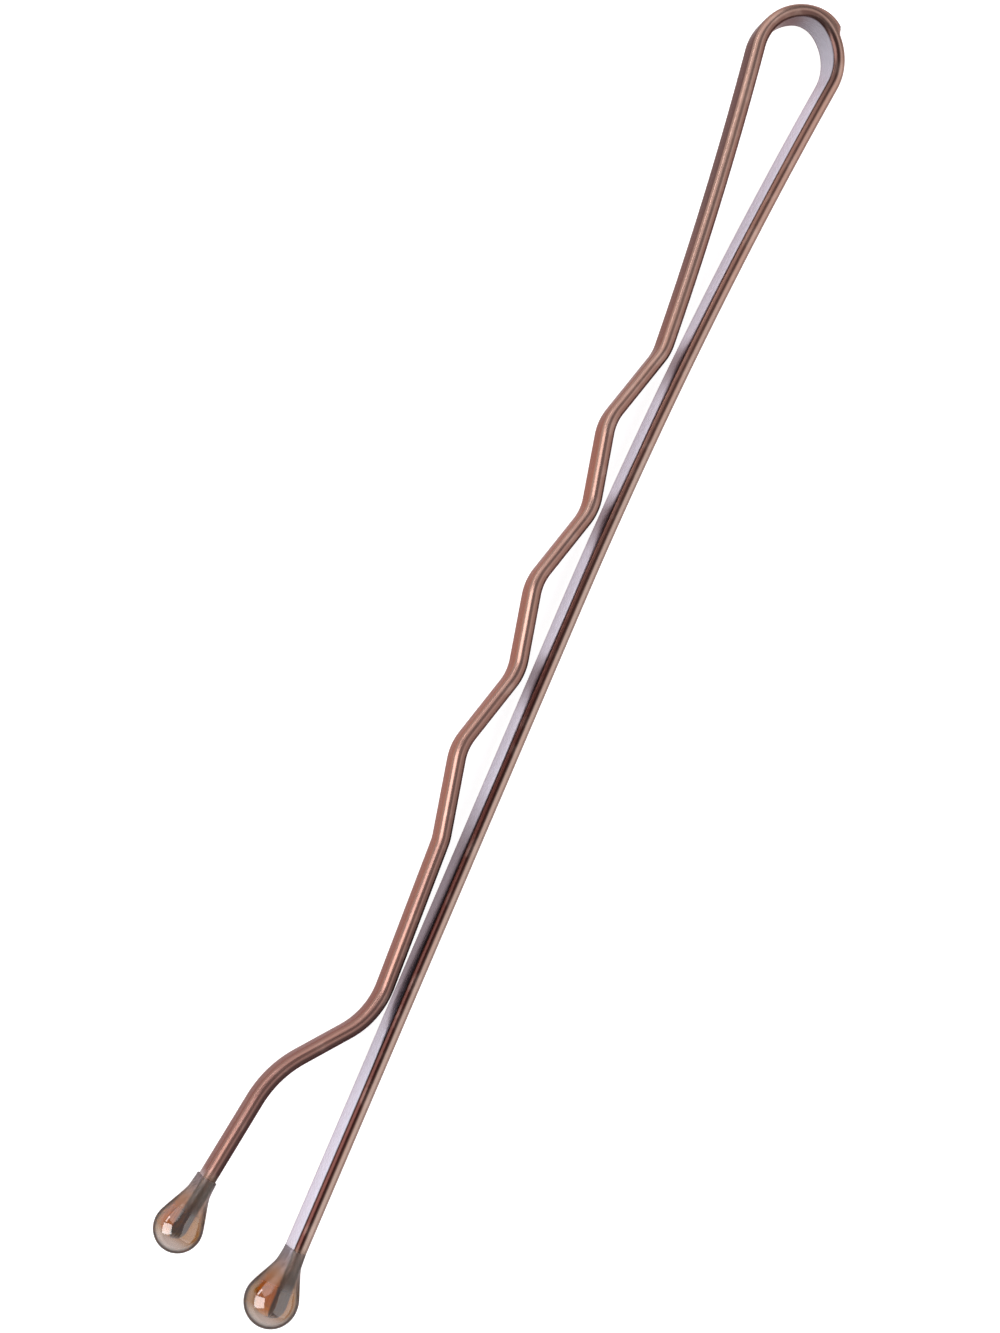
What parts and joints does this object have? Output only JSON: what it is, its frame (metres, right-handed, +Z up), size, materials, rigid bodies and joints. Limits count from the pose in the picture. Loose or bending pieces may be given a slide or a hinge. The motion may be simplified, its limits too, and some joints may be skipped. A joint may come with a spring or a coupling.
{
  "type": "bobby pin",
  "caption": "Hair grip of flat spring wire: a straight leg and a waved leg with a flared tip, joined by a sprung bow, with clear resin beads on the ends.",
  "frame": {"origin": "middle of the pin's box, on the surface it lies on", "axes": "+X along the straight leg towards the bow, +Y from the straight leg towards the waved leg, +Z up, along the width of the wire"},
  "size_m": [0.0509, 0.0064, 0.0019],
  "materials": {
    "lacquered_wire": "glossy brown lacquer on flat spring steel",
    "clear_resin": "clear amber dipped resin, glossy"
  },
  "bodies": {
    "fixed_leg": {"straight_leg": "lacquered_wire", "spring_bow": "lacquered_wire", "straight_leg_tip": "clear_resin"},
    "moving_leg": {"crimped_leg": "lacquered_wire", "crimped_leg_tip": "clear_resin"}
  },
  "joints": [
    {"name": "leg_opening", "type": "hinge", "parent": "fixed_leg", "child": "moving_leg", "pos_m": [0.024, -0.0014, 0.00093], "axis": [0, 0, -1], "range_deg": [-0.25, 12], "stiffness_Nm_per_rad": 0.09, "deforming": ["spring_bow"]}
  ]
}
